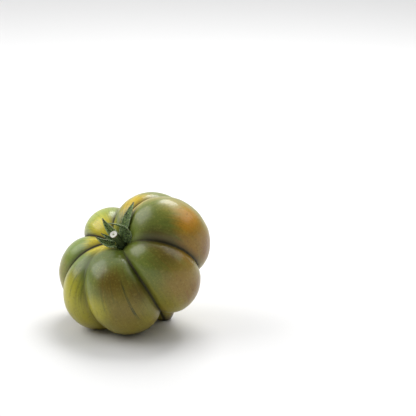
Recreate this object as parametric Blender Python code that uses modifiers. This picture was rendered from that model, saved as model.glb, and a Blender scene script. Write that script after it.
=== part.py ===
"""A ribbed tomato as picked, with its green calyx and a short cut stem.

Metres, +Z up. The fruit lies tipped to the front left, on small flat spots under its three
lowest lobes and under the nub at its blossom end. The origin is on the surface that it
rests on, below the middle of the fruit. Every shape is worked out from the middle of the
fruit, in millimetres, and made in metres.
"""

import math
from collections import namedtuple

import bpy
import numpy as np
from mathutils import Matrix

MM = 0.001

# How the fruit lies: each axis leans by so many degrees towards a compass turn (0 is +X).
FRUIT_LEAN = 37.0
FRUIT_TOWARD = 225.0
STEM_LEAN = 42.0
STEM_TOWARD = 241.0
REST_HEIGHT = 35.2      # from the resting surface up to the middle of the fruit
UNDERSIDE_SLIDE = 5.0   # how far the underside sits forward of the shoulders
GROUND_SIDE = 120.0
GROUND_DEPTH = 20.0
FRAME_MARK_SIZE = 0.02

# The fruit: seven lobes round the core, numbered from the front, clockwise seen from the stem.
Lobe = namedtuple("Lobe", "turn out reach wide tall lift")
LOBES = (
    Lobe(turn=246.0, out=18.0, reach=26.5, wide=25.0, tall=29.0, lift=3.0),
    Lobe(turn=205.0, out=18.0, reach=30.0, wide=22.0, tall=27.0, lift=2.0),
    Lobe(turn=170.0, out=18.0, reach=30.0, wide=22.5, tall=30.0, lift=-2.0),
    Lobe(turn=113.0, out=16.0, reach=24.5, wide=21.0, tall=25.0, lift=4.0),
    Lobe(turn=33.0, out=17.0, reach=27.5, wide=23.0, tall=29.0, lift=5.0),
    Lobe(turn=359.0, out=22.5, reach=27.0, wide=23.0, tall=31.0, lift=8.0),
    Lobe(turn=316.0, out=18.0, reach=27.5, wide=23.0, tall=30.0, lift=2.0),
)
GROOVE_BLEND = 0.7        # rounding where two lobes meet
FRONT_GROOVE_BLEND = 0.9  # rounding of the groove between lobes 1 and 2
VALLEY_DEPTH = 2.6        # how far the skin dips into a groove, over the lobes' own shape
VALLEY_WIDTH = 3.2        # by how much the higher lobe must stand out for the dip to fade
SHALLOWER = 1.3           # lobes 1 and 2 count as standing out this much more, so dip less
FRUIT_SEGMENTS = 100
FRUIT_RINGS = 52

# The blossom end's nub: a slim ellipsoid, a little off the fruit's lower pole.
NUB_TURN = 280.0
NUB_SLANT = 20.0
NUB_DROP = 20.0
NUB_RADIUS = 9.5
NUB_HALF_LENGTH = 21.0
NUB_BLEND = 4.0

# The stem end: a wide dip in the shoulders with a small hollow at its middle.
DIP_DEPTH = 0.20
DIP_SPREAD = 28.0
HOLLOW_DEPTH = 0.10
HOLLOW_SPREAD = 13.0

# The calyx: a button in the hollow, the stem stub on it and sepals round its rim.
CLEARANCE = 0.3
BUTTON_RADIUS = 3.7
BUTTON_BOTTOM = 18.0
BUTTON_TOP = 24.0
BUTTON_BEVEL = 0.9
BUTTON_TAPER = 0.86     # its top radius over its bottom one
BUTTON_SIDES = 40
BUTTON_BEVEL_STEPS = 3
STUB_RADII = (2.6, 2.3, 2.2, 2.45)
STUB_ROUTE = ((0.0, 0.0, 24.3), (-0.2, -0.1, 27.0), (-0.5, -0.2, 31.0), (-0.9, -0.3, 34.8))
STUB_BEVEL_STEPS = 4
STUB_CURVE_STEPS = 5
SEPAL_THICKNESS = 0.8
SEPAL_ROOT = 0.2        # a sepal's breadth at its root, over its width
SEPAL_SWELL = 3.76
SEPAL_TAPER = 1.3
SEPAL_TIP = 0.5         # its breadth at the tip

# Each sepal follows a Bezier route from its root on the rim to its tip, in the stem's frame.
# Its inner side faces one way at the root and another at the tip; cup is how deep it is.
Sepal = namedtuple("Sepal", "name route width root_faces tip_faces cup")
SEPALS = (
    Sepal(
        name="sepal_back",
        route=((2.3, 2.8, 25.8), (6.8, 6.3, 32.9), (11.7, 11.6, 36.1), (14.2, 16.6, 36.0)),
        width=5.8,
        root_faces=(-0.8, -0.35, 1.0),
        tip_faces=(-0.8, -0.35, 1.0),
        cup=0.2,
    ),
    Sepal(
        name="sepal_back_left",
        route=((-1.2, 3.4, 24.8), (-3.9, 7.4, 25.5), (-6.1, 10.2, 29.1), (-6.7, 14.6, 32.6)),
        width=3.5,
        root_faces=(0.2, -0.6, 0.8),
        tip_faces=(0.3, -0.6, 0.6),
        cup=0.3,
    ),
    Sepal(
        name="sepal_left",
        route=((-3.2, 1.4, 24.8), (-5.8, 2.6, 25.6), (-7.6, 3.8, 28.2), (-9.0, 5.3, 31.5)),
        width=3.9,
        root_faces=(0.6, -0.2, 0.7),
        tip_faces=(0.9, 0.2, 0.4),
        cup=0.35,
    ),
    Sepal(
        name="sepal_front_left",
        route=((-3.3, -1.0, 25.0), (-6.2, -1.7, 26.6), (-9.7, -0.1, 29.7), (-12.0, 2.9, 33.0)),
        width=4.3,
        root_faces=(0.3, -0.1, 0.9),
        tip_faces=(0.5, -0.3, 0.8),
        cup=0.45,
    ),
    Sepal(
        name="sepal_front_right",
        route=((3.1, -2.2, 26.5), (5.2, 0.6, 31.4), (9.3, 0.8, 36.1), (-2.3, 6.7, 36.8)),
        width=7.5,
        root_faces=(0.42, 0.57, -0.55),
        tip_faces=(0.54, 0.73, 0.36),
        cup=0.2,
    ),
    Sepal(
        name="sepal_right",
        route=((3.6, 0.3, 25.9), (4.6, 0.9, 28.2), (5.4, 1.5, 29.6), (6.0, 2.1, 31.0)),
        width=2.0,
        root_faces=(-0.7, 0.2, 0.5),
        tip_faces=(-0.7, 0.2, 0.5),
        cup=0.3,
    ),
)
SEPAL_STEPS = 12
SEPAL_STRIPS = 4

Finish = namedtuple("Finish", "name color roughness coat")
SKIN = Finish("tomato_skin", (0.24, 0.22, 0.04, 1.0), 0.32, 0.3)
CALYX_GREEN = Finish("calyx_green", (0.09, 0.16, 0.05, 1.0), 0.65, 0.0)
STEM_GREEN = Finish("stem_green", (0.16, 0.21, 0.08, 1.0), 0.6, 0.0)


def clear_scene():
    for obj in list(bpy.data.objects):
        bpy.data.objects.remove(obj, do_unlink=True)


def new_collection(name):
    collection = bpy.data.collections.new(name)
    bpy.context.scene.collection.children.link(collection)
    return collection


def make_material(finish):
    material = bpy.data.materials.new(finish.name)
    material.use_nodes = True
    shader = material.node_tree.nodes["Principled BSDF"]
    shader.inputs["Base Color"].default_value = finish.color
    shader.inputs["Roughness"].default_value = finish.roughness
    shader.inputs["Metallic"].default_value = 0.0
    shader.inputs["Coat Weight"].default_value = finish.coat
    return material


def leaning(lean, toward):
    """The turn that tips +Z by `lean` degrees towards the compass turn `toward`."""
    swing = Matrix.Rotation(math.radians(toward), 4, "Z")
    return swing @ Matrix.Rotation(math.radians(lean), 4, "Y") @ swing.inverted()


def as_array(matrix):
    return np.array(matrix.to_3x3())


def ellipsoid_hit(way, centre, axes):
    """How far along each way, from the core's middle, the far side of an ellipsoid lies."""
    a = sum((way[i] / axes[i]) ** 2 for i in range(3))
    b = sum(way[i] * centre[i] / axes[i] ** 2 for i in range(3))
    c = sum((centre[i] / axes[i]) ** 2 for i in range(3)) - 1.0
    inside = np.maximum(b * b - a * c, 0.0)
    return np.where(inside > 0.0, (b + np.sqrt(inside)) / a, 0.0)


def smooth_max(values, width):
    top = np.max(values, axis=0)
    return top + width * np.log(np.sum(np.exp((np.array(values) - top) / width), axis=0))


def lobe_reach(ways, lobe):
    turn = math.radians(lobe.turn)
    outward = ways[:, 0] * math.cos(turn) + ways[:, 1] * math.sin(turn)
    sideways = ways[:, 1] * math.cos(turn) - ways[:, 0] * math.sin(turn)
    centre = (lobe.out, 0.0, lobe.lift)
    return ellipsoid_hit((outward, sideways, ways[:, 2]), centre, (lobe.reach, lobe.wide, lobe.tall))


def nub_reach(ways):
    turn = math.radians(NUB_TURN)
    slant = math.radians(NUB_SLANT)
    axis = (math.sin(slant) * math.cos(turn), math.sin(slant) * math.sin(turn), -math.cos(slant))
    along = ways @ np.array(axis)
    off_axis = np.sqrt(np.maximum(1.0 - along**2, 0.0))
    reach = ellipsoid_hit(
        (off_axis, 0.0, along), (0.0, 0.0, NUB_DROP), (NUB_RADIUS, NUB_RADIUS, NUB_HALF_LENGTH)
    )
    return np.where(along > 0.0, reach, 0.0)


def stem_end_dip(world_ways):
    """The share of its reach that the fruit keeps, less near the stem."""
    stem_axis = as_array(leaning(STEM_LEAN, STEM_TOWARD)) @ np.array((0.0, 0.0, 1.0))
    angle = np.degrees(np.arccos(np.clip(world_ways @ stem_axis, -1.0, 1.0)))
    dip = DIP_DEPTH * np.exp(-((angle / DIP_SPREAD) ** 2))
    hollow = HOLLOW_DEPTH * np.exp(-((angle / HOLLOW_SPREAD) ** 2))
    return 1.0 - dip - hollow


def groove_gap(hits):
    """How much the highest lobe stands over the next, in millimetres: 0 in a groove."""
    order = np.argsort(hits, axis=0)
    ranked = np.sort(hits, axis=0)
    gap = ranked[-1] - ranked[-2]
    front_pair = (order[-1] <= 1) & (order[-2] <= 1)
    return np.where(front_pair, np.minimum(gap + SHALLOWER, ranked[-1] - ranked[-3]), gap)


def fruit_points(ways, grow):
    """Points of the fruit's surface, in metres, for unit ways in the fruit's own turn."""
    hits = [lobe_reach(ways, lobe) for lobe in LOBES]
    front_pair = smooth_max(hits[:2], FRONT_GROOVE_BLEND)
    lobes = smooth_max([front_pair] + hits[2:], GROOVE_BLEND)
    lobes = lobes - VALLEY_DEPTH * np.exp(-groove_gap(np.array(hits)) / VALLEY_WIDTH)
    reach = smooth_max([lobes, nub_reach(ways)], NUB_BLEND)
    world_ways = ways @ as_array(leaning(FRUIT_LEAN, FRUIT_TOWARD)).T
    points = world_ways * (reach * stem_end_dip(world_ways) + grow)[:, None]
    below = np.clip(-points[:, 2] / REST_HEIGHT, 0.0, 1.0)
    points[:, 1] -= UNDERSIDE_SLIDE * below * below * (3.0 - 2.0 * below)
    return points * MM


def active_object(name, collection, material):
    """Names the object just added, and moves it from the scene's collection to its own."""
    obj = bpy.context.active_object
    obj.name = name
    obj.data.name = name
    for holder in list(obj.users_collection):
        holder.objects.unlink(obj)
    collection.objects.link(obj)
    if material:
        obj.data.materials.append(material)
    return obj


def fruit_shape(name, collection, material, grow=0.0):
    bpy.ops.mesh.primitive_uv_sphere_add(segments=FRUIT_SEGMENTS, ring_count=FRUIT_RINGS, radius=1.0)
    fruit = active_object(name, collection, material)
    ways = np.empty(len(fruit.data.vertices) * 3)
    fruit.data.vertices.foreach_get("co", ways)
    ways = ways.reshape(-1, 3)
    ways /= np.linalg.norm(ways, axis=1)[:, None]
    fruit.data.vertices.foreach_set("co", fruit_points(ways, grow).ravel())
    fruit.data.update()
    fruit.data.shade_smooth()
    return fruit


def cut_away(obj, cutter):
    cutter.hide_render = True
    cutter.display_type = "WIRE"
    cut = obj.modifiers.new("cut_" + cutter.name, "BOOLEAN")
    cut.operation = "DIFFERENCE"
    cut.solver = "EXACT"
    cut.object = cutter


def make_ground(cutters):
    """A slab whose top is the resting surface, which leaves the flat spots under the lobes."""
    bpy.ops.mesh.primitive_cube_add(size=1.0)
    ground = active_object("ground_slab", cutters, None)
    ground.scale = (GROUND_SIDE * MM, GROUND_SIDE * MM, GROUND_DEPTH * MM)
    ground.location = (0.0, 0.0, (-REST_HEIGHT - GROUND_DEPTH / 2.0) * MM)
    return ground


def make_button(parts, material, stem_frame):
    """The receptacle: a round-edged plug whose underside is cut to the hollow."""
    height = BUTTON_TOP - BUTTON_BOTTOM
    bpy.ops.mesh.primitive_cone_add(
        vertices=BUTTON_SIDES,
        radius1=BUTTON_RADIUS * MM,
        radius2=BUTTON_TAPER * BUTTON_RADIUS * MM,
        depth=height * MM,
        location=(0.0, 0.0, (BUTTON_BOTTOM + height / 2.0) * MM),
    )
    button = active_object("calyx_base", parts, material)
    button.parent = stem_frame
    bevel = button.modifiers.new("round_edge", "BEVEL")
    bevel.width = BUTTON_BEVEL * MM
    bevel.segments = BUTTON_BEVEL_STEPS
    bevel.limit_method = "ANGLE"
    return button


def make_stub(parts, material, stem_frame):
    """The cut stem: a short round curve, thick where it leaves the button."""
    curve = bpy.data.curves.new("stem_stub", "CURVE")
    curve.dimensions = "3D"
    curve.bevel_depth = MM
    curve.bevel_resolution = STUB_BEVEL_STEPS
    curve.resolution_u = STUB_CURVE_STEPS
    curve.use_fill_caps = True
    spline = curve.splines.new("BEZIER")
    spline.bezier_points.add(len(STUB_ROUTE) - 1)
    for point, place, radius in zip(spline.bezier_points, STUB_ROUTE, STUB_RADII):
        point.co = [value * MM for value in place]
        point.radius = radius
        point.handle_left_type = "AUTO"
        point.handle_right_type = "AUTO"
    curve.materials.append(material)
    stub = bpy.data.objects.new("stem_stub", curve)
    parts.objects.link(stub)
    stub.parent = stem_frame
    return stub


def sepal_width(share, width):
    """A lance-shaped blade: narrow at its root, widest near its middle, and drawn to a tip."""
    swell = (SEPAL_ROOT + SEPAL_SWELL * share) * (1.0 - share) ** SEPAL_TAPER
    return width * swell + SEPAL_TIP


def bezier(points, share):
    """The place on a Bezier curve and the way it heads there."""
    first, second, third, last = (np.array(point) for point in points)
    back = 1.0 - share
    place = back**3 * first + 3.0 * back**2 * share * second
    place = place + 3.0 * back * share**2 * third + share**3 * last
    ahead = back**2 * (second - first) + 2.0 * back * share * (third - second)
    ahead = ahead + share**2 * (last - third)
    return place, ahead / np.linalg.norm(ahead)


def sepal_rib(sepal):
    """Places along the middle of a sepal, each with the directions across and out of it."""
    rib = []
    for i in range(SEPAL_STEPS + 1):
        share = i / SEPAL_STEPS
        place, ahead = bezier(sepal.route, share)
        faces = (1.0 - share) * np.array(sepal.root_faces) + share * np.array(sepal.tip_faces)
        across = np.cross(faces, ahead)
        across /= np.linalg.norm(across)
        rib.append((place, across, np.cross(ahead, across)))
    return rib


def make_sepal(sepal, parts, material, stem_frame):
    bpy.ops.mesh.primitive_grid_add(x_subdivisions=SEPAL_STEPS, y_subdivisions=SEPAL_STRIPS, size=1.0)
    blade = active_object(sepal.name, parts, material)
    rib = sepal_rib(sepal)
    for vertex in blade.data.vertices:
        along = vertex.co.x + 0.5
        side = 2.0 * vertex.co.y
        place, across, upper = rib[round(along * SEPAL_STEPS)]
        half = sepal_width(along, sepal.width) / 2.0
        channel = sepal.cup * half * side * side
        vertex.co = (place + across * half * side + upper * channel) * MM
    wall = blade.modifiers.new("blade_thickness", "SOLIDIFY")
    wall.thickness = SEPAL_THICKNESS * MM
    wall.offset = 0.0
    blade.data.shade_smooth()
    blade.parent = stem_frame
    return blade


def add_frame(name, collection, matrix):
    frame = bpy.data.objects.new(name, None)
    frame.empty_display_size = FRAME_MARK_SIZE
    frame.matrix_local = matrix
    collection.objects.link(frame)
    return frame


def middle_above_origin(fruit):
    """Where the fruit's middle goes so that its box stands centred on the origin."""
    corners = np.array([vertex.co for vertex in fruit.data.vertices])
    middle = (corners.min(axis=0) + corners.max(axis=0)) / 2.0
    return Matrix.Translation((-middle[0], -middle[1], REST_HEIGHT * MM))


def main():
    clear_scene()
    parts = new_collection("tomato")
    cutters = new_collection("cutters")
    skin = make_material(SKIN)
    calyx = make_material(CALYX_GREEN)
    stem = make_material(STEM_GREEN)

    fruit = fruit_shape("fruit", parts, skin)
    fruit_frame = add_frame("fruit_middle", parts, middle_above_origin(fruit))
    stem_frame = add_frame("stem_direction", parts, leaning(STEM_LEAN, STEM_TOWARD))
    stem_frame.parent = fruit_frame
    fruit.parent = fruit_frame
    ground = make_ground(cutters)
    ground.parent = fruit_frame
    cut_away(fruit, ground)

    button = make_button(parts, calyx, stem_frame)
    hollow = fruit_shape("fruit_with_clearance", cutters, None, grow=CLEARANCE)
    hollow.parent = fruit_frame
    cut_away(button, hollow)
    make_stub(parts, stem, stem_frame)
    for sepal in SEPALS:
        make_sepal(sepal, parts, calyx, stem_frame)


main()
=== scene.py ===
import math

import bpy
import numpy as np
from mathutils import Matrix, Vector, noise


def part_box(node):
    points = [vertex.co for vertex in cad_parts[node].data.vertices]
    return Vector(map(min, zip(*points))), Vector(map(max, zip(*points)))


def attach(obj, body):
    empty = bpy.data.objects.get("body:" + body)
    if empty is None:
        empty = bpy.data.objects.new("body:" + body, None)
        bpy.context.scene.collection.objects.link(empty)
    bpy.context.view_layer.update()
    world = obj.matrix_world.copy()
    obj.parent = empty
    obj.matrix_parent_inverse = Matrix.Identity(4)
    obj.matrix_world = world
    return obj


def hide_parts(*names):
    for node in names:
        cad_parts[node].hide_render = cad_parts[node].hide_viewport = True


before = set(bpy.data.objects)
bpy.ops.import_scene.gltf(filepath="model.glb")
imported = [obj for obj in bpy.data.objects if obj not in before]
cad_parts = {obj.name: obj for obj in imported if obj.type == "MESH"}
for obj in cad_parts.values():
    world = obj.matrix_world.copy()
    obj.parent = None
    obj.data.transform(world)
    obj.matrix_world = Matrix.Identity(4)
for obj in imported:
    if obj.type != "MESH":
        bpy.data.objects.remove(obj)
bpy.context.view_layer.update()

MM = 0.001

# ---------------------------------------------------------------------------------------------
# How the tomato lies: each axis leans by so many degrees towards a compass turn (0 is +X).
# Lengths of the fruit are in millimetres from its middle.

FRUIT_LEAN, FRUIT_TOWARD = 37.0, 225.0
STEM_LEAN, STEM_TOWARD = 42.0, 241.0
REST_HEIGHT = 35.2      # from the resting surface up to the middle of the fruit
UNDERSIDE_SLIDE = 5.0   # how far the underside sits forward of the shoulders

# turn, out, reach, wide, tall, lift of each lobe, from the front, clockwise seen from the stem
LOBES = (
    (246.0, 18.0, 26.5, 25.0, 29.0, 3.0),
    (205.0, 18.0, 30.0, 22.0, 27.0, 2.0),
    (170.0, 18.0, 30.0, 22.5, 30.0, -2.0),
    (113.0, 16.0, 24.5, 21.0, 25.0, 4.0),
    (33.0, 17.0, 27.5, 23.0, 29.0, 5.0),
    (359.0, 22.5, 27.0, 23.0, 31.0, 8.0),
    (316.0, 18.0, 27.5, 23.0, 30.0, 2.0),
)
GROOVE_BLEND = 0.7        # rounding where two lobes meet
FRONT_GROOVE_BLEND = 0.9  # rounding of the groove between lobes 1 and 2
NUB_TURN, NUB_SLANT, NUB_DROP = 280.0, 20.0, 20.0
NUB_RADIUS, NUB_HALF_LENGTH = 9.5, 21.0
NUB_BLEND = 4.0
# How far the skin dips into a groove, and over what lead of the higher lobe the dip fades
VALLEY_DEPTH, VALLEY_WIDTH = 2.6, 3.2
SHALLOWER = 1.3         # lobes 1 and 2 count as leading by this much more, so they dip less
DIP_DEPTH, DIP_SPREAD = 0.20, 28.0
HOLLOW_DEPTH, HOLLOW_SPREAD = 0.10, 13.0
SKIN_SEGMENTS, SKIN_RINGS = 288, 168
SWELL_LENGTH, SWELL_SHARE = 9.0, 0.004   # slight unevenness of the skin
GROOVE_SHADE_WIDTH = 3.0                 # over what lead the groove's shade fades
MERIDIAN_SPREAD = 0.8
TINY = 1e-9
NEARLY_ONE = 0.999999

# The calyx, in the stem's frame. Each sepal follows a Bezier route from its root to its tip.
# route, width, which way its inner side faces at root and tip, cup, and how pale it is
SEPALS = {
    "sepal_back": (
        ((2.3, 2.8, 25.8), (6.8, 6.3, 32.9), (11.7, 11.6, 36.1), (14.2, 16.6, 36.0)),
        7.0, (-0.8, -0.35, 1.0), (-0.8, -0.35, 1.0), 0.2, 0.45,
    ),
    "sepal_back_left": (
        ((-1.2, 3.4, 24.8), (-3.9, 7.4, 25.5), (-6.1, 10.2, 29.1), (-6.7, 14.6, 32.6)),
        4.6, (0.2, -0.6, 0.8), (0.3, -0.6, 0.6), 0.3, 0.8,
    ),
    "sepal_left": (
        ((-3.2, 1.4, 24.8), (-5.8, 2.6, 25.6), (-7.6, 3.8, 28.2), (-9.0, 5.3, 31.5)),
        3.9, (0.6, -0.2, 0.7), (0.9, 0.2, 0.4), 0.35, 0.15,
    ),
    "sepal_front_left": (
        ((-3.3, -1.0, 25.0), (-6.2, -1.7, 26.6), (-9.7, -0.1, 29.7), (-12.0, 2.9, 33.0)),
        4.3, (0.3, -0.1, 0.9), (0.5, -0.3, 0.8), 0.45, 0.5,
    ),
    "sepal_front_right": (
        ((3.1, -2.2, 26.5), (5.2, 0.6, 31.4), (9.3, 0.8, 36.1), (-2.3, 6.7, 36.8)),
        7.5, (0.42, 0.57, -0.55), (0.54, 0.73, 0.36), 0.2, 0.25,
    ),
    "sepal_right": (
        ((3.6, 0.3, 25.9), (4.6, 0.9, 28.2), (5.4, 1.5, 29.6), (6.0, 2.1, 31.0)),
        2.0, (-0.7, 0.2, 0.5), (-0.7, 0.2, 0.5), 0.3, 0.2,
    ),
}
SEPAL_STEPS, SEPAL_STRIPS = 56, 16
SEPAL_WALL = 0.55
SEPAL_FULLNESS, SEPAL_ROOT, SEPAL_SWELL, SEPAL_TAPER, SEPAL_TIP = 1.39, 0.6, 1.6, 1.15, 0.3
MIDRIB_DEPTH, MIDRIB_WIDTH = 0.25, 0.13
EDGE_ROLL, EDGE_START = 0.4, 0.7
EDGE_WAVE, WAVE_SEED = 0.35, 5.0
SEPAL_RAGGED, RAGGED_BUMPS = 0.10, 2.5
BUMPS_ALONG, EDGES_APART = 7.0, 3.0

# Rings of the stem stub, from its foot: centre, radius and how much its ribs stand out
STUB_RINGS = (
    ((0.0, 0.0, 23.6), 3.0, 0.10),
    ((0.0, 0.0, 24.6), 2.7, 0.12),
    ((-0.1, -0.05, 26.0), 2.4, 0.09),
    ((-0.25, -0.1, 28.0), 2.2, 0.07),
    ((-0.5, -0.2, 31.0), 2.15, 0.06),
    ((-0.8, -0.28, 33.6), 2.3, 0.06),
    ((-0.88, -0.3, 34.5), 2.3, 0.05),
    ((-0.9, -0.3, 34.75), 2.22, 0.05),
    ((-0.9, -0.3, 34.80), 2.05, 0.03),
    ((-0.9, -0.3, 34.66), 1.8, 0.02),
    ((-0.9, -0.3, 34.62), 1.25, 0.0),
    ((-0.9, -0.3, 34.50), 0.75, 0.0),
    ((-0.9, -0.3, 34.38), 0.45, 0.0),
    ((-0.9, -0.3, 34.35), 0.15, 0.0),
)
# Rings of the calyx's base, in the same way
BASE_RINGS = (
    ((0.0, 0.0, 18.8), 3.0, 0.02),
    ((0.0, 0.0, 20.0), 3.6, 0.04),
    ((0.0, 0.0, 22.0), 3.8, 0.05),
    ((0.0, 0.0, 23.2), 3.65, 0.06),
    ((0.0, 0.0, 23.9), 3.1, 0.08),
    ((0.0, 0.0, 24.2), 2.3, 0.05),
    ((0.0, 0.0, 24.3), 0.9, 0.0),
)
RING_SIDES = 60
STUB_RIBS, BASE_RIBS = 5, 12
RIB_SWAY = 0.5          # how unevenly the ribs are spaced


def leaning(lean, toward):
    """The turn that tips +Z by `lean` degrees towards the compass turn `toward`."""
    swing = Matrix.Rotation(math.radians(toward), 4, "Z")
    return swing @ Matrix.Rotation(math.radians(lean), 4, "Y") @ swing.inverted()


def as_array(matrix):
    return np.array(matrix.to_3x3())


def unit(vectors):
    return vectors / np.linalg.norm(vectors, axis=-1, keepdims=True)


# ---------------------------------------------------------------------------------------------
# Shader maths as Python expressions


class Wire:
    """A shader socket that Python's operators work on; each operator adds a Math node."""

    def __init__(self, paint, socket):
        self.paint = paint
        self.socket = socket

    def math(self, operation, *others):
        return self.paint.maths(operation, self, *others)

    def __add__(self, other):
        return self.math("ADD", other)

    def __mul__(self, other):
        return self.math("MULTIPLY", other)

    def __sub__(self, other):
        return self.math("SUBTRACT", other)

    def __rsub__(self, other):
        return self.paint.maths("SUBTRACT", other, self)

    __radd__ = __add__
    __rmul__ = __mul__

    def ramp(self, low, high):
        """0 below low, 1 above high, and smooth between."""
        settings = {"interpolation_type": "SMOOTHSTEP"}
        return self.paint.node("ShaderNodeMapRange", settings, {0: self, 1: low, 2: high})


class Paint:
    """One material, built from nodes."""

    def __init__(self, name, roughness=0.5, **constants):
        self.material = bpy.data.materials.new(name)
        self.material.use_nodes = True
        self.tree = self.material.node_tree
        self.shader = self.tree.nodes["Principled BSDF"]
        self.shader.inputs["Roughness"].default_value = roughness
        for socket, value in constants.items():
            self.shader.inputs[socket.replace("_", " ")].default_value = value

    def node(self, kind, settings=None, feeds=(), out=0):
        """A node of this type: its settings first, then its sockets' values or links."""
        made = self.tree.nodes.new(kind)
        for name, value in (settings or {}).items():
            setattr(made, name, value)
        for key, value in dict(feeds).items():
            if isinstance(value, Wire):
                self.tree.links.new(value.socket, made.inputs[key])
            else:
                made.inputs[key].default_value = value
        return Wire(self, made.outputs[out])

    def maths(self, operation, *feeds):
        return self.node("ShaderNodeMath", {"operation": operation}, enumerate(feeds))

    def feed(self, name, wire):
        self.tree.links.new(wire.socket, self.shader.inputs[name])

    def place(self):
        return self.node("ShaderNodeTexCoord", out="Object")

    def attribute(self, name, out="Fac"):
        return self.node("ShaderNodeAttribute", {"attribute_name": name}, out=out)

    def noise(self, where, scale, detail=2.0, rough=0.5):
        feeds = {"Vector": where, "Scale": scale, "Detail": detail, "Roughness": rough}
        return self.node("ShaderNodeTexNoise", None, feeds)

    def mix(self, share, first, second):
        """Two colours mixed; each is a wire or an (r, g, b) of linear values."""
        settings = {"data_type": "RGBA", "clamp_factor": True}
        feeds = {0: share, 6: colour(first), 7: colour(second)}
        return self.node("ShaderNodeMix", settings, feeds, out=2)

    def vector(self, operation, *feeds, out=0):
        return self.node("ShaderNodeVectorMath", {"operation": operation}, enumerate(feeds), out=out)

    def bump(self, height, distance, strength=1.0, under=None):
        feeds = {"Height": height, "Distance": distance, "Strength": strength}
        if under:
            feeds["Normal"] = under
        return self.node("ShaderNodeBump", None, feeds)


def colour(value):
    """A colour socket's value: a wire as it is, and an (r, g, b) with its alpha."""
    return value if isinstance(value, Wire) else (*value, 1.0)


def tint(red, green, blue):
    """A screen colour, 0 to 255, as linear values."""
    shares = (value / 255.0 for value in (red, green, blue))
    return tuple(s / 12.92 if s <= 0.04045 else ((s + 0.055) / 1.055) ** 2.4 for s in shares)


# ---------------------------------------------------------------------------------------------
# The fruit's surface


def ellipsoid_hit(way, centre, axes):
    """How far along each way, from the middle, the far side of an ellipsoid lies."""
    a = sum((way[i] / axes[i]) ** 2 for i in range(3))
    b = sum(way[i] * centre[i] / axes[i] ** 2 for i in range(3))
    c = sum((centre[i] / axes[i]) ** 2 for i in range(3)) - 1.0
    inside = np.maximum(b * b - a * c, 0.0)
    return np.where(inside > 0.0, (b + np.sqrt(inside)) / a, 0.0)


def smooth_max(values, width):
    top = np.max(values, axis=0)
    return top + width * np.log(np.sum(np.exp((np.array(values) - top) / width), axis=0))


def lobe_reach(ways, lobe):
    turn, out, reach, wide, tall, lift = lobe
    turn = math.radians(turn)
    outward = ways[:, 0] * math.cos(turn) + ways[:, 1] * math.sin(turn)
    sideways = ways[:, 1] * math.cos(turn) - ways[:, 0] * math.sin(turn)
    return ellipsoid_hit((outward, sideways, ways[:, 2]), (out, 0.0, lift), (reach, wide, tall))


def nub_axis():
    turn, slant = math.radians(NUB_TURN), math.radians(NUB_SLANT)
    flat = math.sin(slant)
    return np.array((flat * math.cos(turn), flat * math.sin(turn), -math.cos(slant)))


def nub_reach(ways):
    along = ways @ nub_axis()
    off_axis = np.sqrt(np.maximum(1.0 - along**2, 0.0))
    axes = (NUB_RADIUS, NUB_RADIUS, NUB_HALF_LENGTH)
    reach = ellipsoid_hit((off_axis, 0.0, along), (0.0, 0.0, NUB_DROP), axes)
    return np.where(along > 0.0, reach, 0.0)


def from_stem(world_ways):
    """Degrees between each way and the stem's."""
    stem_axis = as_array(leaning(STEM_LEAN, STEM_TOWARD)) @ np.array((0.0, 0.0, 1.0))
    return np.degrees(np.arccos(np.clip(world_ways @ stem_axis, -1.0, 1.0)))


def stem_end_dip(world_ways):
    """The share of its reach that the fruit keeps, less near the stem."""
    angle = from_stem(world_ways)
    dip = DIP_DEPTH * np.exp(-((angle / DIP_SPREAD) ** 2))
    hollow = HOLLOW_DEPTH * np.exp(-((angle / HOLLOW_SPREAD) ** 2))
    return 1.0 - dip - hollow


def groove_gap(hits):
    """How much the highest lobe stands over the next, in millimetres: 0 in a groove.

    The first two lobes share a shallow groove, so theirs counts for less.
    """
    order = np.argsort(np.array(hits), axis=0)
    ranked = np.sort(np.array(hits), axis=0)
    gap = ranked[-1] - ranked[-2]
    shallow = (order[-1] <= 1) & (order[-2] <= 1)
    third = ranked[-1] - ranked[-3]
    return np.where(shallow, np.minimum(gap + SHALLOWER, third), gap)


def skin_points(ways):
    """Points of the skin in millimetres from the middle, and how near each is to a groove."""
    hits = [lobe_reach(ways, lobe) for lobe in LOBES]
    front_pair = smooth_max(hits[:2], FRONT_GROOVE_BLEND)
    lobes = smooth_max([front_pair] + hits[2:], GROOVE_BLEND)
    gap = groove_gap(hits)
    lobes = lobes - VALLEY_DEPTH * np.exp(-gap / VALLEY_WIDTH)
    reach = smooth_max([lobes, nub_reach(ways)], NUB_BLEND)
    world_ways = ways @ as_array(leaning(FRUIT_LEAN, FRUIT_TOWARD)).T
    points = world_ways * (reach * stem_end_dip(world_ways))[:, None]
    below = np.clip(-points[:, 2] / REST_HEIGHT, 0.0, 1.0)
    points[:, 1] -= UNDERSIDE_SLIDE * below * below * (3.0 - 2.0 * below)
    return points, gap, world_ways


def meridians(world_ways):
    """Lines that run over the skin from the stem to the nub: their turn, and how far along."""
    stem = as_array(leaning(STEM_LEAN, STEM_TOWARD)) @ np.array((0.0, 0.0, 1.0))
    nub = as_array(leaning(FRUIT_LEAN, FRUIT_TOWARD)) @ nub_axis()
    side = unit(np.cross(stem, nub))
    pole = unit(stem - nub)
    third = np.cross(pole, side)

    def flattened(ways):
        across, up, rise = ways @ side, ways @ third, ways @ pole
        return (across + 1j * up) / (1.0 - np.clip(rise, -1.0, NEARLY_ONE))

    ends = flattened(np.array([stem, nub]))
    spots = flattened(world_ways)
    swirl = (spots - ends[0]) / (spots - ends[1] + TINY)
    turn = np.angle(swirl)
    along = 0.5 + np.arctan(MERIDIAN_SPREAD * np.log(np.abs(swirl) + TINY)) / math.pi
    return turn, along


def no_selection():
    for obj in bpy.context.selected_objects:
        obj.select_set(False)


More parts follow.
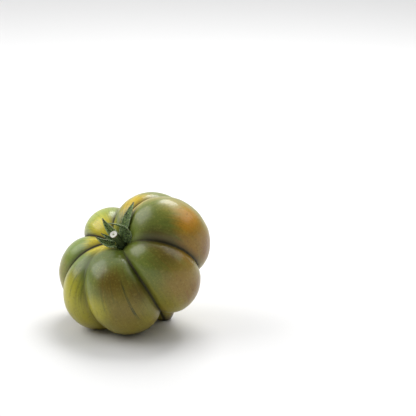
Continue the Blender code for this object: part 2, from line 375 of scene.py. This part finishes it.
def named(name):
    """Names the object just added and its mesh."""
    obj = bpy.context.active_object
    obj.name = name
    obj.data.name = name
    return obj


def coordinates(obj):
    flat = np.empty(len(obj.data.vertices) * 3)
    obj.data.vertices.foreach_get("co", flat)
    return flat.reshape(-1, 3)


def set_coordinates(obj, points):
    obj.data.vertices.foreach_set("co", np.asarray(points, np.float32).ravel())
    obj.data.update()


def add_attribute(obj, name, values):
    kind = "FLOAT_VECTOR" if values.ndim == 2 else "FLOAT"
    layer = obj.data.attributes.new(name, kind, "POINT")
    field = "vector" if values.ndim == 2 else "value"
    layer.data.foreach_set(field, values.astype(np.float32).ravel())


def make_fruit():
    no_selection()
    bpy.ops.mesh.primitive_uv_sphere_add(segments=SKIN_SEGMENTS, ring_count=SKIN_RINGS, radius=1.0)
    fruit = named("tomato_fruit")
    points, gap, world_ways = skin_points(unit(coordinates(fruit)))
    swells = np.array([noise.noise(Vector(point) / SWELL_LENGTH) for point in points])
    points *= (1.0 + SWELL_SHARE * swells)[:, None]
    middle = (points.min(axis=0) + points.max(axis=0)) / 2.0
    low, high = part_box("fruit")
    shift = np.array(((low.x + high.x) / 2.0 / MM, (low.y + high.y) / 2.0 / MM, 0.0))
    shift[:2] -= middle[:2]
    shift[2] = REST_HEIGHT
    points += shift
    points[:, 2] = np.maximum(points[:, 2], 0.0)
    set_coordinates(fruit, points * MM)
    turn, along = meridians(world_ways)
    add_attribute(fruit, "groove", np.exp(-gap / GROOVE_SHADE_WIDTH))
    add_attribute(fruit, "flow", np.stack((np.cos(turn), np.sin(turn), along), axis=1))
    add_attribute(fruit, "shoulder", from_stem(world_ways) / 90.0)
    bpy.ops.object.shade_smooth()
    return fruit, shift


def from_stem_frame(points, shift):
    """Points of the stem's frame, in millimetres, put where the calyx stands."""
    return points @ as_array(leaning(STEM_LEAN, STEM_TOWARD)).T + shift


def bezier(points, share):
    """The place on a Bezier curve and the way it heads there."""
    first, second, third, last = (np.array(point) for point in points)
    back = 1.0 - share
    place = back**3 * first + 3.0 * back**2 * share * second
    place = place + 3.0 * back * share**2 * third + share**3 * last
    ahead = back**2 * (second - first) + 2.0 * back * share * (third - second)
    ahead = ahead + share**2 * (last - third)
    return place, ahead / np.linalg.norm(ahead)


def sepal_width(share, width):
    """A lance-shaped blade: widest at a quarter, and drawn to a tip."""
    body = (SEPAL_ROOT + SEPAL_SWELL * share) * (1.0 - share) ** SEPAL_TAPER
    return width * SEPAL_FULLNESS * body + SEPAL_TIP


def edge_noise(along, edge, seed):
    return noise.noise(Vector((BUMPS_ALONG * along, EDGES_APART * edge, seed)))


def sepal_spot(shape, along, side, seed):
    """A point of a sepal's blade: `along` runs 0 to 1 from its root, `side` -1 to 1 across."""
    route, width, root_faces, tip_faces, cup, _ = shape
    place, ahead = bezier(route, along)
    faces = (1.0 - along) * np.array(root_faces) + along * np.array(tip_faces)
    across = unit(np.cross(faces, ahead))
    upper = np.cross(ahead, across)
    edge = math.copysign(1.0, side)
    half = sepal_width(along, width) / 2.0
    half *= 1.0 + SEPAL_RAGGED * edge_noise(RAGGED_BUMPS * along, edge, seed)
    rise = cup * half * side * side
    rise -= MIDRIB_DEPTH * (1.0 - along) * math.exp(-((side / MIDRIB_WIDTH) ** 2))
    in_edge = max(0.0, abs(side) - EDGE_START) / (1.0 - EDGE_START)
    rise += EDGE_ROLL * (1.0 - along) * in_edge**2
    rise += EDGE_WAVE * side * side * edge_noise(along, edge, seed + WAVE_SEED)
    return place + across * half * side + upper * rise


def apply_modifiers(obj):
    for modifier in list(obj.modifiers):
        bpy.ops.object.modifier_apply(modifier=modifier.name)


def make_sepal(name, shape, seed, shift):
    no_selection()
    bpy.ops.mesh.primitive_grid_add(x_subdivisions=SEPAL_STEPS, y_subdivisions=SEPAL_STRIPS, size=1.0)
    blade = named(name + "_blade")
    flat = coordinates(blade)
    along = flat[:, 0] + 0.5
    side = 2.0 * flat[:, 1]
    points = np.array([sepal_spot(shape, a, b, seed) for a, b in zip(along, side)])
    set_coordinates(blade, from_stem_frame(points, shift) * MM)
    add_attribute(blade, "blade", np.stack((along, side, np.full(len(side), shape[-1])), axis=1))
    wall = blade.modifiers.new("wall", "SOLIDIFY")
    wall.thickness = SEPAL_WALL * MM
    wall.offset = 0.0
    rounded = blade.modifiers.new("rounded", "SUBSURF")
    rounded.levels = 1
    apply_modifiers(blade)
    bpy.ops.object.mode_set(mode="EDIT")
    bpy.ops.mesh.select_all(action="SELECT")
    bpy.ops.mesh.normals_make_consistent(inside=False)
    bpy.ops.object.mode_set(mode="OBJECT")
    bpy.ops.object.shade_smooth()
    return blade


def make_ringed(name, rings, ribs, shift):
    """A round body built ring on ring, each drawn out of the one before."""
    no_selection()
    bpy.ops.mesh.primitive_circle_add(vertices=RING_SIDES, radius=1.0, fill_type="NGON")
    body = named(name)
    bpy.ops.object.mode_set(mode="EDIT")
    bpy.ops.mesh.select_all(action="SELECT")
    for _ in rings[1:]:
        bpy.ops.mesh.extrude_region_move(TRANSFORM_OT_translate={"value": (0.0, 0.0, 1.0)})
    bpy.ops.mesh.select_all(action="SELECT")
    bpy.ops.mesh.normals_make_consistent(inside=False)
    bpy.ops.object.mode_set(mode="OBJECT")
    plain = coordinates(body)
    level = np.rint(plain[:, 2]).astype(int)
    turn = np.arctan2(plain[:, 1], plain[:, 0])
    centre = np.array([ring[0] for ring in rings])[level]
    radius = np.array([ring[1] for ring in rings])[level]
    ribbing = np.array([ring[2] for ring in rings])[level]
    radius = radius * (1.0 + ribbing * np.cos(ribs * turn + RIB_SWAY * np.sin(2.0 * turn)))
    points = centre + np.stack((radius * np.cos(turn), radius * np.sin(turn), 0.0 * turn), axis=1)
    set_coordinates(body, from_stem_frame(points, shift) * MM)
    add_attribute(body, "height", centre[:, 2])
    add_attribute(body, "radius", radius)
    add_attribute(body, "around", np.stack((np.cos(turn), np.sin(turn), 0.0 * turn), axis=1))
    rounded = body.modifiers.new("rounded", "SUBSURF")
    rounded.levels = 1
    apply_modifiers(body)
    bpy.ops.object.shade_smooth()
    return body


# ---------------------------------------------------------------------------------------------
# Skin

SHADE_GREEN = (88, 104, 44)
LEAF_GREEN = (126, 150, 62)
PALE_GREEN = (170, 184, 66)
REAR_GREEN = (122, 140, 48)
LEMON = (226, 206, 46)
YELLOW = (182, 174, 36)
GOLD = (222, 186, 30)
OLIVE = (106, 116, 40)
TAWNY = (136, 116, 30)
OCHRE = (150, 118, 40)
TAN = (176, 154, 60)
RUSSET = (202, 138, 4)
AMBER = (152, 112, 10)
BRONZE = (104, 82, 4)
BROWN = (128, 82, 4)
UMBER = (66, 58, 6)
# The nub's tip colour: the brown of the blossom end, darkened further as painted shade.
NUB_BROWN_AND_SHADE = (52, 28, 14)
STREAK_GREEN = (44, 60, 18)
FAINT_GREEN = (68, 80, 26)

# Patches of colour: the lobe's number, degrees of turn off its middle, degrees down from the
# fruit's top, how wide in millimetres, tint, and how strong
PATCHES = (
    (1, 0, 30, 14, SHADE_GREEN, 0.7),
    (1, 12, 55, 12, BRONZE, 0.9),
    (1, 15, 75, 15, TAWNY, 0.8),
    (1, -10, 75, 10, YELLOW, 0.7),
    (1, 10, 90, 13, TAWNY, 0.6),
    (1, 30, 70, 8, BRONZE, 0.7),
    (2, 5, 40, 13, SHADE_GREEN, 0.6),
    (2, 0, 65, 13, YELLOW, 0.8),
    (2, 10, 80, 12, YELLOW, 0.6),
    (3, 5, 45, 14, LEAF_GREEN, 0.8),
    (3, 10, 25, 10, LEMON, 0.9),
    (4, 5, 40, 14, PALE_GREEN, 0.8),
    (4, 15, 25, 11, LEMON, 0.8),
    (5, 5, 35, 11, GOLD, 0.8),
    (5, -10, 45, 10, TAN, 0.6),
    (6, -15, 40, 13, OLIVE, 0.7),
    (6, 0, 55, 12, TAN, 0.6),
    (6, -10, 65, 12, RUSSET, 0.9),
    (6, -15, 80, 14, AMBER, 0.9),
    (6, -10, 95, 13, BROWN, 0.9),
    (7, -15, 35, 10, OLIVE, 0.7),
    (7, 10, 45, 9, UMBER, 0.7),
    (7, 5, 60, 13, BRONZE, 0.85),
    (7, -5, 85, 16, OCHRE, 0.9),
    (7, 18, 75, 10, AMBER, 0.8),
    (7, 0, 105, 12, BROWN, 0.7),
    (4, 0, 80, 16, PALE_GREEN, 0.5),
    (5, 0, 80, 20, REAR_GREEN, 0.6),
    (6, 12, 90, 18, TAN, 0.5),
)
NUB_TIP_WIDTH = 9
NUB_TIP_STRENGTH = 0.95

# Dark streaks: the lobe's number, turn and down as above, half width in degrees of turn,
# half length in millimetres, tint, and how strong
STREAKS = (
    (1, 20, 70, 1.7, 14, STREAK_GREEN, 0.85),
    (1, 20, 90, 1.3, 10, STREAK_GREEN, 0.8),
    (1, 18, 60, 1.0, 9, FAINT_GREEN, 0.7),
    (1, 30, 75, 1.0, 12, FAINT_GREEN, 0.6),
    (1, 10, 60, 1.2, 9, FAINT_GREEN, 0.6),
    (1, 0, 65, 1.5, 9, FAINT_GREEN, 0.6),
    (2, 15, 60, 1.6, 10, FAINT_GREEN, 0.6),
    (2, 5, 60, 1.6, 9, FAINT_GREEN, 0.6),
)


def lobe_way(lobe, aside, down):
    """The way from the middle that is `aside` of a lobe's turn and `down` from the fruit's top."""
    turn = LOBES[lobe - 1][0] + aside
    return leaning(FRUIT_LEAN, FRUIT_TOWARD) @ leaning(down, turn) @ Vector((0.0, 0.0, 1.0))


def nub_way():
    return leaning(FRUIT_LEAN, FRUIT_TOWARD) @ Vector(nub_axis())


SHOULDER_GREEN, SIDE_YELLOW = (108, 122, 42), (150, 136, 34)
# The second colour darkens the grooves: partly the skin's own brown there, partly painted shade of
# the creases.
STREAK_OLIVE, GROOVE_BROWN_AND_SHADE = (70, 72, 20), (46, 42, 4)
SPECK_PALE, SPECK_DARK = (176, 166, 84), (66, 58, 10)
FLOW_STRETCH = (1.0, 1.0, 0.22)          # draws the noise out from the stem to the nub
STREAK_SCALE, BROAD_SCALE, FINE_SCALE = 26.0, 55.0, 90.0
SPECK_SCALE, RIPPLE_SCALE, PORE_SCALE = 760.0, 220.0, 900.0
PATCH_CORE, PATCH_RIM, PATCH_RAGGED = 0.25, 1.25, 0.9
STREAK_CORE, STREAK_FADE = 0.3, 0.6
RIPPLE_DEPTH, PORE_DEPTH, SKIN_BUMP = 0.00035, 0.00008, 0.35


def spot_on_skin(way, shift):
    """The place in metres where a way from the middle meets the skin."""
    return tuple((np.array(fruit_surface(way)) + shift) * MM)


def add_patches(paint, skin, place, streaks, shift):
    patches = [(lobe_way(*spot[:3]), *spot[3:]) for spot in PATCHES]
    # The nub's tip gets its own brown, made near black as painted shade.
    patches.append((nub_way(), NUB_TIP_WIDTH, NUB_BROWN_AND_SHADE, NUB_TIP_STRENGTH))
    for way, width, shade, strength in patches:
        away = paint.vector("DISTANCE", place, spot_on_skin(way, shift), out=1)
        ragged = away + (streaks - 0.5) * (PATCH_RAGGED * width * MM)
        share = 1.0 - ragged.ramp(PATCH_CORE * width * MM, PATCH_RIM * width * MM)
        skin = paint.mix(share * strength, skin, tint(*shade))
    return skin


def add_streaks(paint, skin, place, flow, broken, shift):
    for lobe, aside, down, narrow, length, shade, strength in STREAKS:
        way = lobe_way(lobe, aside, down)
        angle = float(meridians(np.array(way)[None, :])[0][0])
        near = paint.vector("DOT_PRODUCT", flow, (math.cos(angle), math.sin(angle), 0.0), out=1)
        core = math.cos(math.radians(STREAK_CORE * narrow))
        line = near.ramp(math.cos(math.radians(narrow)), core)
        away = paint.vector("DISTANCE", place, spot_on_skin(way, shift), out=1)
        window = 1.0 - away.ramp(STREAK_FADE * length * MM, length * MM)
        skin = paint.mix(line * window * broken * strength, skin, tint(*shade))
    return skin


def skin_paint(shift):
    """Green shoulders that fade to yellow sides, with patches, grooves darkened partly in their own
    brown and partly with painted shade, specks and streaks.
    """
    paint = Paint("tomato_skin", Coat_Roughness=0.12, Subsurface_Weight=0.05,
                  Subsurface_Scale=0.003, Specular_IOR_Level=0.4)
    place = paint.place()
    flow = paint.attribute("flow", out="Vector")
    groove = paint.attribute("groove")
    shoulder = paint.attribute("shoulder")

    stretched = paint.vector("MULTIPLY", flow, FLOW_STRETCH)
    streaks = paint.noise(stretched, STREAK_SCALE, detail=4.0, rough=0.6)
    broad = paint.noise(place, BROAD_SCALE)
    fade = (shoulder + (streaks - 0.5) * 0.55 + (broad - 0.5) * 0.3).ramp(0.45, 1.15)
    skin = paint.mix(fade, tint(*SHOULDER_GREEN), tint(*SIDE_YELLOW))
    skin = add_patches(paint, skin, place, streaks, shift)

    fine = paint.noise(stretched, FINE_SCALE, detail=3.0, rough=0.65)
    skin = paint.mix((fine - 0.5).ramp(0.02, 0.25) * 0.35, skin, tint(*STREAK_OLIVE))
    # Grooves darken to a dark brown, most of all away from the stem: partly the skin's own colour,
    # partly painted shade in the creases.
    groove_brown_and_shade = groove.ramp(0.25, 1.0) * shoulder.ramp(0.15, 0.4) + groove.ramp(0.7, 1.0) * 0.5
    skin = paint.mix(groove_brown_and_shade * 0.85, skin, tint(*GROOVE_BROWN_AND_SHADE))
    specks = paint.noise(place, SPECK_SCALE, detail=3.0, rough=0.7)
    pale_share = (specks - 0.5).ramp(0.03, 0.2) * 0.28 * (1.0 - groove.ramp(0.1, 0.5))
    skin = paint.mix(pale_share, skin, tint(*SPECK_PALE))
    skin = paint.mix((0.5 - specks).ramp(0.03, 0.2) * 0.35, skin, tint(*SPECK_DARK))
    broken = (fine * 0.6 + specks * 0.4).ramp(0.42, 0.56)
    skin = add_streaks(paint, skin, place, flow, broken, shift)
    paint.feed("Base Color", skin)
    paint.feed("Roughness", 0.24 + 0.12 * broad + 0.1 * fine + 0.4 * groove.ramp(0.5, 1.0))
    paint.feed("Coat Weight", 0.2 - 0.2 * groove)

    ripples = paint.bump(paint.noise(place, RIPPLE_SCALE, detail=3.0), RIPPLE_DEPTH, SKIN_BUMP)
    paint.feed("Normal", paint.bump(paint.noise(place, PORE_SCALE), PORE_DEPTH, SKIN_BUMP, ripples))
    return paint.material


# ---------------------------------------------------------------------------------------------
# Calyx and stem

SEPAL_DARK, SEPAL_PALE = (46, 70, 20), (156, 182, 104)
VEIN_DARK, MIDRIB_PALE, EDGE_PALE = (30, 46, 24), (120, 146, 96), (168, 186, 140)
CELL_DARK, DRY_TIP = (14, 22, 8), (88, 70, 58)
MOTTLE_SCALE, CELL_SCALE, VEIN_STRETCH = 900.0, 1700.0, (5.0, 26.0, 1.0)
VEIN_DEPTH, CELL_DEPTH, LEAF_BUMP = 0.0004, 0.00015, 0.6

BASE_DARK, BASE_PALE = (24, 36, 18), (70, 92, 50)
BASE_MOTTLE_SCALE, BASE_DEPTH = 1100.0, 0.0003

BARK_DARK, BARK_PALE, BARK_SPOTS = (34, 48, 24), (104, 122, 74), (28, 36, 18)
CUT_RIM, PITH_GREEN, WOOD_WHITE = (120, 104, 66), (142, 150, 100), (246, 244, 232)
STEM_MOTTLE_SCALE, GRAIN_STRETCH = 1200.0, (7.0, 7.0, 1.0)
GRAIN_DEPTH, BARK_DEPTH = 0.0005, 0.0002
RIM_HEIGHTS, CUT_HEIGHTS = (33.4, 34.6), (34.2, 34.4)
PITH_RADII, WOOD_RADII = (0.3, 0.8), (2.05, 2.3)


def calyx_paint():
    """Sepal green: veins, a paler midrib and edge, dark cells and a dry tip."""
    paint = Paint("calyx_green", roughness=0.6, Specular_IOR_Level=0.35, Subsurface_Weight=0.06,
                  Subsurface_Scale=0.001)
    place = paint.place()
    blade = paint.attribute("blade", out="Vector")
    parts = [paint.node("ShaderNodeSeparateXYZ", None, {0: blade}, out=i) for i in range(3)]
    along, side, pale = parts
    off_rib = side.math("ABSOLUTE")
    mottle = paint.noise(place, MOTTLE_SCALE, detail=3.0, rough=0.6)
    cells = paint.noise(place, CELL_SCALE)
    veins = paint.noise(paint.vector("MULTIPLY", blade, VEIN_STRETCH), 1.0, detail=3.0)

    green = paint.mix(pale + (mottle - 0.5) * 2.4, tint(*SEPAL_DARK), tint(*SEPAL_PALE))
    green = paint.mix((veins - 0.5).ramp(0.0, 0.2) * 0.55, green, tint(*VEIN_DARK))
    green = paint.mix((1.0 - off_rib.ramp(0.03, 0.16)) * 0.5, green, tint(*MIDRIB_PALE))
    green = paint.mix(off_rib.ramp(0.72, 0.95) * 0.7, green, tint(*EDGE_PALE))
    green = paint.mix((cells - 0.5).ramp(0.0, 0.1) * 0.9, green, tint(*CELL_DARK))
    green = paint.mix(along.ramp(0.86, 1.0) * 0.6, green, tint(*DRY_TIP))
    paint.feed("Base Color", green)
    ridges = paint.bump(veins, VEIN_DEPTH, LEAF_BUMP)
    paint.feed("Normal", paint.bump(cells, CELL_DEPTH, LEAF_BUMP, ridges))
    return paint.material


def base_paint():
    paint = Paint("calyx_base_green", roughness=0.7, Specular_IOR_Level=0.3)
    mottle = paint.noise(paint.place(), BASE_MOTTLE_SCALE, detail=3.0)
    paint.feed("Base Color", paint.mix(mottle, tint(*BASE_DARK), tint(*BASE_PALE)))
    paint.feed("Normal", paint.bump(mottle, BASE_DEPTH, LEAF_BUMP))
    return paint.material


def stem_paint():
    """Green bark with paler ribs; on the cut, a brown rim, white wood and a green pith."""
    paint = Paint("stem_green", roughness=0.6, Specular_IOR_Level=0.35)
    height = paint.attribute("height")
    radius = paint.attribute("radius")
    around = paint.attribute("around", out="Vector")
    grain = paint.noise(paint.vector("MULTIPLY", around, GRAIN_STRETCH), 1.0, detail=3.0)
    mottle = paint.noise(paint.place(), STEM_MOTTLE_SCALE, detail=3.0)
    bark = paint.mix(grain.ramp(0.35, 0.65), tint(*BARK_DARK), tint(*BARK_PALE))
    bark = paint.mix(mottle.ramp(0.5, 0.7) * 0.6, bark, tint(*BARK_SPOTS))
    bark = paint.mix(height.ramp(*RIM_HEIGHTS) * 0.7, bark, tint(*CUT_RIM))
    ragged = radius + (mottle - 0.5) * 0.5
    wood = paint.mix(ragged.ramp(*PITH_RADII), tint(*PITH_GREEN), tint(*WOOD_WHITE))
    cut = height.ramp(*CUT_HEIGHTS) * (1.0 - ragged.ramp(*WOOD_RADII))
    paint.feed("Base Color", paint.mix(cut, bark, wood))
    ridges = paint.bump(grain, GRAIN_DEPTH, LEAF_BUMP)
    paint.feed("Normal", paint.bump(mottle, BARK_DEPTH, LEAF_BUMP, ridges))
    return paint.material


def fruit_surface(way):
    """Where a way from the middle meets the skin, in millimetres from the middle."""
    own = as_array(leaning(FRUIT_LEAN, FRUIT_TOWARD)).T @ np.array(way)
    return skin_points(unit(own)[None, :])[0][0]


def dress(obj, material, node):
    obj.data.materials.clear()
    obj.data.materials.append(material)
    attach(obj, "root")
    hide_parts(node)


# ---------------------------------------------------------------------------------------------
# Floor, light and camera

FLOOR_SIZE, FLOOR_GREY = 8.0, 0.74
WORLD_STRENGTH = 0.2
LIT_SPOT = (0.0, 0.0, 0.04)
# Soft boxes: name, place, width, height and watts; all face the same spot
SOFT_BOXES = (
    ("overhead", (-0.04, 0.52, 1.02), 1.5, 1.2, 3.5),
    ("key", (0.20, 0.50, 0.80), 0.5, 0.4, 6.0),
    ("left_side", (-0.85, 0.14, 0.72), 0.9, 0.8, 8.5),
    ("right_side", (0.75, 0.10, 0.80), 0.9, 0.8, 4.0),
    ("back_panel", (0.0, 1.3, 0.40), 3.0, 0.8, 6.0),
)
VIEW_RISE = 20.0
VIEW_DISTANCE = 0.9
LENS, SENSOR = 131.0, 36.0
AIM_RIGHT, AIM_UP = 0.044, 0.032


def make_stage():
    no_selection()
    bpy.ops.mesh.primitive_plane_add(size=FLOOR_SIZE)
    floor = named("floor")
    paint = Paint("floor_white", roughness=0.6)
    paint.shader.inputs["Base Color"].default_value = (FLOOR_GREY, FLOOR_GREY, FLOOR_GREY, 1.0)
    floor.data.materials.append(paint.material)


def facing(place, target):
    """The turn that points a lamp or a camera at `place` towards `target`."""
    return (Vector(target) - Vector(place)).to_track_quat("-Z", "Y").to_euler()


def make_light():
    world = bpy.data.worlds.new("studio")
    bpy.context.scene.world = world
    world.use_nodes = True
    background = world.node_tree.nodes["Background"]
    background.inputs["Color"].default_value = (1.0, 1.0, 1.0, 1.0)
    background.inputs["Strength"].default_value = WORLD_STRENGTH
    for name, place, width, height, watts in SOFT_BOXES:
        light = bpy.data.lights.new(name, "AREA")
        light.shape = "RECTANGLE"
        light.size = width
        light.size_y = height
        light.energy = watts
        lamp = bpy.data.objects.new(name, light)
        bpy.context.scene.collection.objects.link(lamp)
        lamp.location = place
        lamp.rotation_euler = facing(place, LIT_SPOT)


def make_camera(middle):
    data = bpy.data.cameras.new("camera")
    data.lens = LENS
    data.sensor_width = SENSOR
    camera = bpy.data.objects.new("camera", data)
    bpy.context.scene.collection.objects.link(camera)
    rise = math.radians(VIEW_RISE)
    back = Vector((0.0, -math.cos(rise), math.sin(rise)))
    up = Vector((0.0, math.sin(rise), math.cos(rise)))
    camera.location = middle + back * VIEW_DISTANCE
    target = middle + Vector((AIM_RIGHT, 0.0, 0.0)) + up * AIM_UP
    camera.rotation_euler = facing(camera.location, target)
    bpy.context.scene.camera = camera


fruit, shift = make_fruit()
dress(fruit, skin_paint(shift), "fruit")
calyx_green = calyx_paint()
for seed, (name, shape) in enumerate(SEPALS.items()):
    dress(make_sepal(name, shape, float(seed), shift), calyx_green, name)
receptacle = make_ringed("receptacle", BASE_RINGS, BASE_RIBS, shift)
dress(receptacle, base_paint(), "calyx_base")
cut_stem = make_ringed("cut_stem", STUB_RINGS, STUB_RIBS, shift)
dress(cut_stem, stem_paint(), "stem_stub")
make_stage()
make_light()
make_camera(Vector(shift * MM))
bpy.context.scene.view_settings.view_transform = "Standard"
